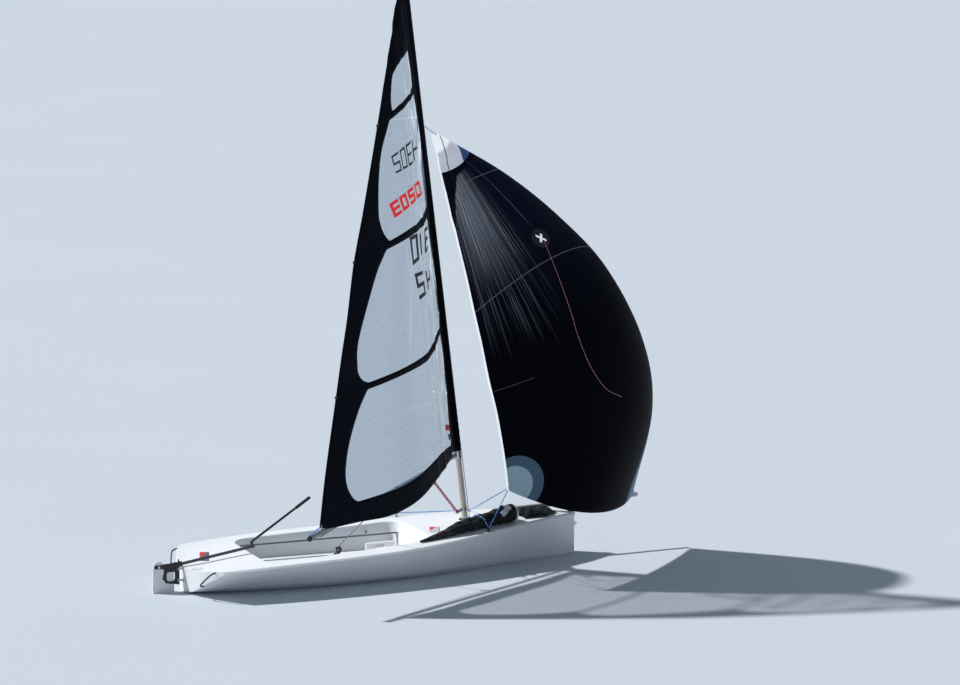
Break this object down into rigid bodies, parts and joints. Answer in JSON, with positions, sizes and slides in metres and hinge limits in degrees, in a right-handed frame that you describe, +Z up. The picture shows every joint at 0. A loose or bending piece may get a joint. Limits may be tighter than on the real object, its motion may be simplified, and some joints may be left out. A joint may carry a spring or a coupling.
{
  "type": "sailing dinghy",
  "caption": "Single-handed sailing dinghy afloat, with a turning mast, a black mainsail with clear windows out to starboard and a black kite flying from a bow pole.",
  "frame": {"origin": "on the centreline at the design waterline, amidships", "axes": "+X towards the bow, +Y to port, +Z up along the hull's own vertical"},
  "size_m": [4.8674, 2.1327, 6.2607],
  "materials": {
    "hull_white": "white moulded hull, satin gloss",
    "black_plastic": "moulded black nylon",
    "black_metal": "black anodised alloy",
    "black_rubber": "ribbed rubber grip",
    "spar_grey": "silver anodised tube",
    "mast_gold": "pale bronze anodised tube",
    "steel": "stainless steel",
    "sail_black": "black laminate sailcloth",
    "sail_film": "clear sail film, slightly milky",
    "kite_cloth": "black ripstop nylon",
    "sock_cloth": "black mesh and nylon sock",
    "red_plastic": "red moulded base plate",
    "webbing": "dark grey hiking strap webbing",
    "foil_white": "white moulded foil"
  },
  "bodies": {
    "root": {"hull": "hull_white", "mast_collar": "black_plastic", "bow_pole": "spar_grey", "pole_end_cap": "black_plastic", "stem_ring": "black_plastic", "pole_heel": "black_plastic", "tack_strop": "black_plastic", "kite": "kite_cloth", "sock": "sock_cloth", "sock_hoop": "black_plastic", "gudgeons": "steel", "bow_eye": "steel", "sheet_base": "red_plastic", "ratchet_block": "black_plastic", "kite_block_port": "black_plastic", "kite_block_starboard": "black_plastic", "toe_strap_port": "webbing", "toe_strap_starboard": "webbing", "grab_handle_port": "black_plastic", "grab_handle_starboard": "black_plastic"},
    "rig": {"mast_lower": "mast_gold", "mast_upper": "spar_grey", "mast_cap": "black_plastic", "sail_sleeve": "sail_black", "sail_cloth": "sail_black", "sail_windows": "sail_film", "boom": "spar_grey", "boom_end_cap": "black_plastic", "gooseneck": "steel", "boom_block": "black_plastic", "vang_strop": "black_plastic", "vang_upper_block": "black_plastic", "vang_tang": "steel", "vang_lower_block": "black_plastic"},
    "board": {"daggerboard": "foil_white", "board_cap": "foil_white"},
    "rudder": {"rudder_stock": "black_metal", "tiller": "black_metal", "blade_bolt": "steel"},
    "blade": {"rudder_blade": "foil_white"},
    "knuckle": {"knuckle": "black_plastic"},
    "extension": {"extension": "black_metal", "extension_grip": "black_rubber"}
  },
  "joints": [
    {"name": "rig_turn", "type": "hinge", "parent": "root", "child": "rig", "pos_m": [0.825, 0, 0.4], "axis": [-0.1103, 0, 0.9939], "range_deg": [-105, 35]},
    {"name": "board_lift", "type": "slide", "parent": "root", "child": "board", "axis": [0, 0, 1], "range_m": [0, 0.8]},
    {"name": "rudder_turn", "type": "hinge", "parent": "root", "child": "rudder", "pos_m": [-1.965, 0, 0.15], "axis": [0, 0, 1], "range_deg": [-38, 38]},
    {"name": "blade_lift", "type": "hinge", "parent": "rudder", "child": "blade", "pos_m": [-2.154, 0, 0.236], "axis": [0, 1, 0], "range_deg": [0, 88]},
    {"name": "extension_swing", "type": "hinge", "parent": "rudder", "child": "knuckle", "pos_m": [-1.269, 0, 0.362], "axis": [0, 0, 1], "range_deg": [-105, 50]},
    {"name": "extension_lift", "type": "hinge", "parent": "knuckle", "child": "extension", "pos_m": [-1.269, 0, 0.388], "axis": [0.5, -0.866, 0], "range_deg": [-10, 50]}
  ]
}
